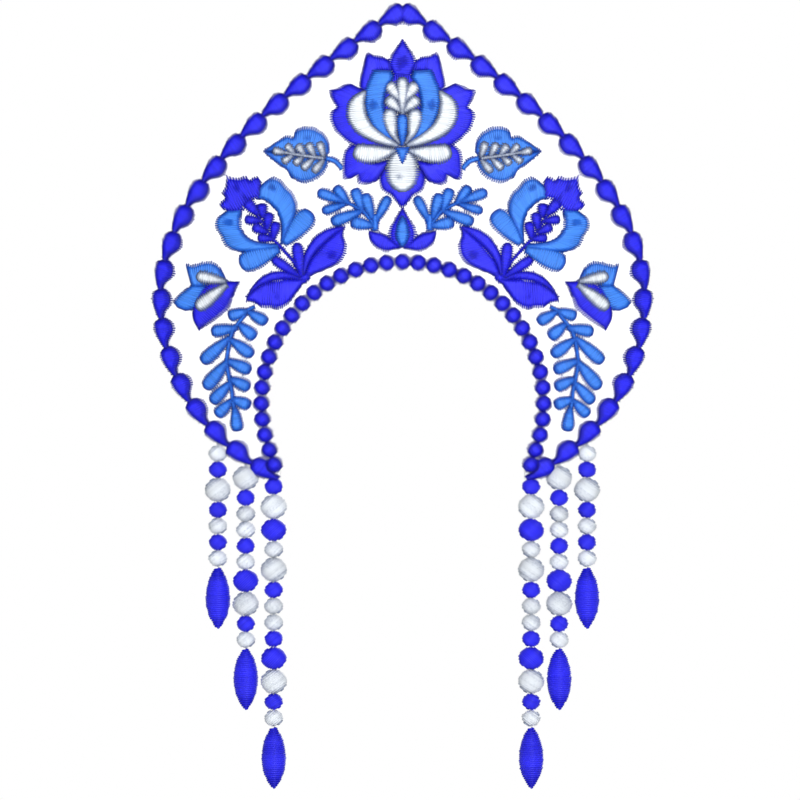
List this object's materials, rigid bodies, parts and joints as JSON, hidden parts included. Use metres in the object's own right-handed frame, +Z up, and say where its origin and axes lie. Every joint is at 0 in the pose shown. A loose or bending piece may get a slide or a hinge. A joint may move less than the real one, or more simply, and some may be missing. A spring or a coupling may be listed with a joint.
{
  "type": "kokoshnik headdress",
  "caption": "Bowed, peaked cloth headdress plate with an arch for the head, padded floral embroidery, a beaded edge and hanging bead strands with long drops.",
  "frame": {"origin": "crown of the head band's inside, halfway along the band's depth, where the headdress sits on the head", "axes": "+Z up, -Y the embroidered front, +X to the right as seen from the front"},
  "size_m": [0.3064, 0.0444, 0.4781],
  "materials": {
    "white_cloth": "matt woven cotton",
    "royal_thread": "glossy embroidery thread",
    "light_thread": "glossy embroidery thread",
    "white_thread": "glossy embroidery thread"
  },
  "bodies": {
    "root": {"bud_left": "royal_thread", "bud_right": "royal_thread", "centre_bud": "royal_thread", "centre_flower": "royal_thread", "crown_plate": "white_cloth", "drop_left_inner": "royal_thread", "drop_left_middle": "royal_thread", "drop_left_outer": "royal_thread", "drop_right_inner": "royal_thread", "drop_right_middle": "royal_thread", "drop_right_outer": "royal_thread", "fern_left": "light_thread", "fern_right": "light_thread", "head_band": "white_cloth", "inner_border": "royal_thread", "leaf_left": "light_thread", "leaf_pair_left": "royal_thread", "leaf_pair_right": "royal_thread", "leaf_right": "light_thread", "outer_border_left": "royal_thread", "outer_border_right": "royal_thread", "rose_left": "light_thread", "rose_right": "light_thread", "sprig_left": "light_thread", "sprig_right": "light_thread", "strand_left_inner": "white_thread", "strand_left_middle": "white_thread", "strand_left_outer": "white_thread", "strand_right_inner": "white_thread", "strand_right_middle": "white_thread", "strand_right_outer": "white_thread"}
  },
  "joints": []
}
